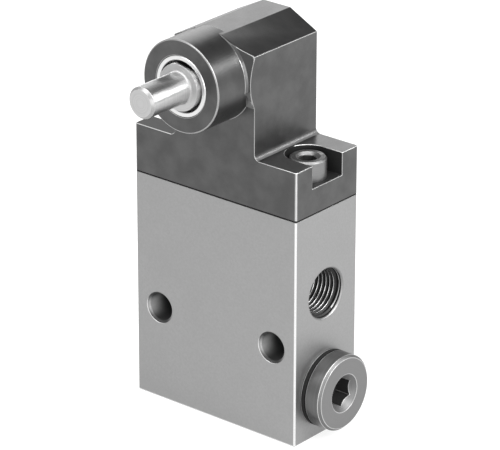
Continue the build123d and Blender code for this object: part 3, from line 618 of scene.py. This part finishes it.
# Turning rings 0.12 mm apart round each screw's own axis
either_end = put(tree, "ShaderNodeVectorMath", {0: place}, operation="ABSOLUTE")
lathe = round_axis(tree, either_end.outputs["Vector"], (screw_offset, 0.0, 0.0), (1.0, 1.0, 0.0), "Z")
rings = put(tree, "ShaderNodeTexNoise", {"Vector": lathe, "Scale": 8000.0, "Detail": 2.0})
tone = put(tree, "ShaderNodeMix", {
    "Factor": rings.outputs["Fac"], "A": linear("707070"), "B": linear("8A8A8A")}, data_type="RGBA")
relief = put(tree, "ShaderNodeBump", {"Height": rings.outputs["Fac"], "Strength": 0.25, "Distance": 0.00001})
shader = put(tree, "ShaderNodeBsdfPrincipled", {
    "Base Color": tone.outputs["Result"], "Metallic": 1.0, "Roughness": 0.42,
    "Normal": relief.outputs["Normal"]})
tree.links.new(shader.outputs["BSDF"], output.inputs["Surface"])

# Hexagon sockets: broach marks of 0.2 mm on their walls, painted dark as the shade in the socket
socket_shade = marked_metal("broached_socket_painted_shade", 5000.0, 2.0, "2A2A2A", "404040", 0.4, 0.4)

screws = merged_copy("head_screws", "socket_screws")
coat(screws, zinc_plated, socket_shade)
# The mouth of each hexagon is opened to its corners and countersunk, in two steps. Each is a cone with
# a lower and an upper radius, a depth, and the drop of its middle below the screw's top.
screw_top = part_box("head_screws")[1][2]
steps = ((0.0014, 0.0019, 0.0005, 0.00035), (0.0018, 0.0024, 0.0006, 0.0002))
for side in (-1, 1):
    for low, high, depth, drop in steps:
        bpy.ops.object.select_all(action="DESELECT")
        bpy.ops.mesh.primitive_cone_add(
            vertices=64, radius1=low, radius2=high, depth=depth,
            location=(side * screw_offset, 0, screw_top - drop))
        cutter = bpy.context.object
        bpy.context.view_layer.objects.active = screws
        sink = screws.modifiers.new("countersink", "BOOLEAN")
        sink.operation = "DIFFERENCE"
        sink.object = cutter
        bpy.ops.object.modifier_apply(modifier=sink.name)
        bpy.data.objects.remove(cutter)
screws.select_set(True)
# Each screw's head is painted dark as shade within socket_reach of its axis
socket_reach = 0.00198
screw_head_foot = 0.0505
finish_faces(screws, 1, lambda c, n: math.hypot(abs(c.x) - screw_offset, c.y) < socket_reach
             and c.z > screw_head_foot)
round_edges(screws, 0.00004)
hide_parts("head_screws")
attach(screws, "valve")

# Blanking plug: turned steel screw plug with a wide collar and a hexagon socket, screwed into the
# lower port. Its face shows concentric turning rings, its bevels are dull, and its edges are bright,
# partly with painted highlights.
plug_height = lower_port

# The lathe's fine feed over the face, the side in painted shade, which makes it darker, and the form
# tool's dull cut on the bevel and the countersink, which scatters their highlights
plug_finishes = []
for name, dark, light, roughness in (
    ("turned_plug_steel", "707070", "828282", 0.36),
    ("plug_side_painted_shade", "545454", "6C6C6C", 0.36),
    ("dull_turned_plug_bevel", "606060", "7A7A7A", 0.52),
):
    turned_plug, tree, output = new_material(name)
    place = put(tree, "ShaderNodeTexCoord").outputs["Object"]
    # Turning rings 0.15 mm apart round the plug's axis
    lathe = round_axis(tree, place, (0.0, 0.0, plug_height), (0.0, 1.0, 1.0), "X")
    rings = put(tree, "ShaderNodeTexNoise", {"Vector": lathe, "Scale": 6500.0, "Detail": 2.0})
    tone = put(tree, "ShaderNodeMix", {
        "Factor": rings.outputs["Fac"], "A": linear(dark), "B": linear(light)}, data_type="RGBA")
    relief = put(tree, "ShaderNodeBump", {
        "Height": rings.outputs["Fac"], "Strength": 0.3, "Distance": 0.00001})
    shader = put(tree, "ShaderNodeBsdfPrincipled", {
        "Base Color": tone.outputs["Result"], "Metallic": 1.0, "Roughness": roughness,
        "Normal": relief.outputs["Normal"]})
    tree.links.new(shader.outputs["BSDF"], output.inputs["Surface"])
    plug_finishes.append(turned_plug)

# Edges: fine scratches of 0.2 mm where spanners and gloves have rubbed them bright, with painted
# highlights on top
polished_corner_and_highlight = marked_metal("polished_corner_and_painted_highlight", 5000.0, 2.0, "A8A8A8", "C4C4C4", 0.8, 0.3)

plug = merged_copy("blanking_plug", "screw_plug")
coat(plug, plug_finishes[0], polished_corner_and_highlight, socket_shade, plug_finishes[1], plug_finishes[2])
# The side of the collar in painted shade, then the hexagon in painted shade, then the bevels of the face
collar_back = 0.0205
collar_front = 0.0237
collar_wall = 0.0070
finish_faces(plug, 3, lambda c, n: abs(n.x) < 0.1 and collar_back < c.x < collar_front
             and from_port(c, plug_height) > collar_wall)
hexagon_back = 0.015
hexagon_mouth = 0.0232
hexagon_reach = 0.0031
finish_faces(plug, 2, lambda c, n: hexagon_back < c.x < hexagon_mouth
             and from_port(c, plug_height) < hexagon_reach)
bevels_back = 0.0220
finish_faces(plug, 4, lambda c, n: 0.2 < n.x < 0.95 and c.x > bevels_back)
# The hollow corners down the hexagon carry painted highlights as fine lines
round_edges(plug, 0.00007, edge_slot=1,
            hollows=lambda edge: abs((edge.verts[0].co - edge.verts[1].co).normalized().x) > 0.99)
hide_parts("blanking_plug")
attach(plug, "valve")

# Sealing ring: black nitrile, moulded on a thin aluminium washer that lies against the body. The
# plug's collar pinches it, so only the washer's bright rim and a dark band of rubber show. The rim's
# brightness is partly a painted highlight on the ring's back edge.
washer_thickness = 0.00025

# The washer: stamped from sheet, with a grain of 0.2 mm, and light enough to paint a highlight on
# the ring's edge
aluminium_and_rim_highlight = marked_metal("aluminium_rim_and_painted_highlight", 5000.0, 2.0, "A9A9A9", "C5C5C5", 1.0, 0.36)

washer = merged_copy("plug_seal", "sealing_ring")
bpy.ops.object.mode_set(mode="EDIT")
bpy.ops.mesh.select_all(action="SELECT")
bpy.ops.mesh.bisect(plane_co=(body_half_width + washer_thickness, 0, 0), plane_no=(1, 0, 0))
bpy.ops.object.mode_set(mode="OBJECT")
coat(washer, nitrile, aluminium_and_rim_highlight)
finish_faces(washer, 1, lambda c, n: c.x < body_half_width + washer_thickness)
round_edges(washer, 0.0001)
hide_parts("plug_seal")
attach(washer, "valve")


# Floor: a plain pale table top. To the camera and in reflections it adds its own white to what
# the lamps give it, so that it meets the white background and keeps the valve's soft shadow.
def shown_rays(tree):
    """1 for what is seen straight, in a reflection or through glass, and 0 for the light it gives."""
    ray = put(tree, "ShaderNodeLightPath")
    shown = put(tree, "ShaderNodeMath", {
        0: ray.outputs["Is Camera Ray"], 1: ray.outputs["Is Glossy Ray"]}, operation="MAXIMUM")
    shown = put(tree, "ShaderNodeMath", {
        0: shown.outputs["Value"], 1: ray.outputs["Is Transmission Ray"]}, operation="MAXIMUM")
    return shown.outputs["Value"]


bpy.ops.object.select_all(action="DESELECT")
bpy.ops.mesh.primitive_plane_add(size=6.0, location=(0, 0, -0.00002))
floor = bpy.context.object
floor.name = "floor"
pale_floor, tree, output = new_material("pale_floor")
lit = put(tree, "ShaderNodeBsdfDiffuse", {"Color": linear("9A9A9A")})
glow = put(tree, "ShaderNodeEmission", {"Color": linear("FFFFFF"), "Strength": 0.8})
both = put(tree, "ShaderNodeAddShader", {0: lit.outputs["BSDF"], 1: glow.outputs["Emission"]})
mixed = put(tree, "ShaderNodeMixShader", {
    0: shown_rays(tree), 1: lit.outputs["BSDF"], 2: both.outputs["Shader"]})
tree.links.new(mixed.outputs["Shader"], output.inputs["Surface"])
floor.data.materials.append(pale_floor)

# Background: white to the camera and in reflections, and a plain grey level as light. Soft lamps
# round the valve add the rest.
world = bpy.data.worlds.new("studio")
bpy.context.scene.world = world
world.use_nodes = True
tree = world.node_tree
tree.nodes.clear()
white = put(tree, "ShaderNodeBackground", {"Color": linear("FFFFFF"), "Strength": 1.0})
level = put(tree, "ShaderNodeBackground", {"Color": linear("FFFFFF"), "Strength": 0.65})
mixed = put(tree, "ShaderNodeMixShader", {
    0: shown_rays(tree), 1: level.outputs["Background"], 2: white.outputs["Background"]})
output = put(tree, "ShaderNodeOutputWorld", {"Surface": mixed.outputs["Shader"]})

# Flag: a grey card that hangs behind and above the valve, out of the camera's sight. Bright round
# steel and black satin faces mirror it as the dark bands between their highlights.
bpy.ops.mesh.primitive_plane_add(size=0.6, location=(0.07, 0.45, 0.46), rotation=(math.radians(-42), 0, 0))
flag = bpy.context.object
flag.name = "dark_flag"
grey_card, tree, output = new_material("grey_card")
seen = put(tree, "ShaderNodeLightPath")
clear = put(tree, "ShaderNodeBsdfTransparent")
card = put(tree, "ShaderNodeBsdfDiffuse", {"Color": linear("5C5C5C")})
mixed = put(tree, "ShaderNodeMixShader", {
    0: seen.outputs["Is Camera Ray"], 1: card.outputs["BSDF"], 2: clear.outputs["BSDF"]})
tree.links.new(mixed.outputs["Shader"], output.inputs["Surface"])
flag.data.materials.append(grey_card)


# Lamps: the front, right and top ones give each face its own grey. The back and kick lamps draw the
# sheen along the ledges, the roof and the boss, and the fill lamp below the camera lifts the flare.
def towards(around, above):
    """The direction at that angle round the valve from its front, and that angle above the floor."""
    return Vector((math.sin(around) * math.cos(above), -math.cos(around) * math.cos(above), math.sin(above)))


lamp_target = Vector((0, 0, 0.04))
lamp_distance = 0.6
for name, azimuth, elevation, size, power in (
    ("front_lamp", -15, 50, 0.35, 1.6),
    ("right_lamp", 100, 38, 0.35, 3.3),
    ("top_lamp", 40, 80, 0.4, 1.5),
    ("back_lamp", 220, 24, 0.4, 0.6),
    ("fill_lamp", 47, 8, 0.3, 1.2),
    ("kick_lamp", 142, 27, 0.12, 0.45),
):
    back = towards(math.radians(azimuth), math.radians(elevation))
    lamp_data = bpy.data.lights.new(name, "AREA")
    lamp_data.size = size
    lamp_data.energy = power
    lamp = bpy.data.objects.new(name, lamp_data)
    lamp.location = lamp_target + back * lamp_distance
    lamp.rotation_euler = (-back).to_track_quat("-Z", "Y").to_euler()
    bpy.context.scene.collection.objects.link(lamp)

# Camera: a long lens in front of the valve's right front corner, a little above it. Its place and
# lens come from the lines and circles of the object's own shape.
camera_azimuth = math.radians(39.825)
camera_elevation = math.radians(23.444)
camera_roll = math.radians(0.086)
camera_distance = 0.65
back = towards(camera_azimuth, camera_elevation)
level_right = Vector((math.cos(camera_azimuth), math.sin(camera_azimuth), 0))
level_up = back.cross(level_right)
right = level_right * math.cos(camera_roll) + level_up * math.sin(camera_roll)
up = level_up * math.cos(camera_roll) - level_right * math.sin(camera_roll)
aim = Vector((0, 0, 0.030)) + right * 0.000834 + up * 0.006434
camera_data = bpy.data.cameras.new("camera")
camera_data.sensor_width = 36
camera_data.lens = 247.8
camera_data.clip_start = 0.01
camera_data.clip_end = 20
camera = bpy.data.objects.new("camera", camera_data)
camera_turn = Matrix((right, up, back)).transposed().to_4x4()
camera.matrix_world = Matrix.Translation(aim + back * camera_distance) @ camera_turn
bpy.context.scene.collection.objects.link(camera)
bpy.context.scene.camera = camera
bpy.context.scene.view_settings.view_transform = "Standard"
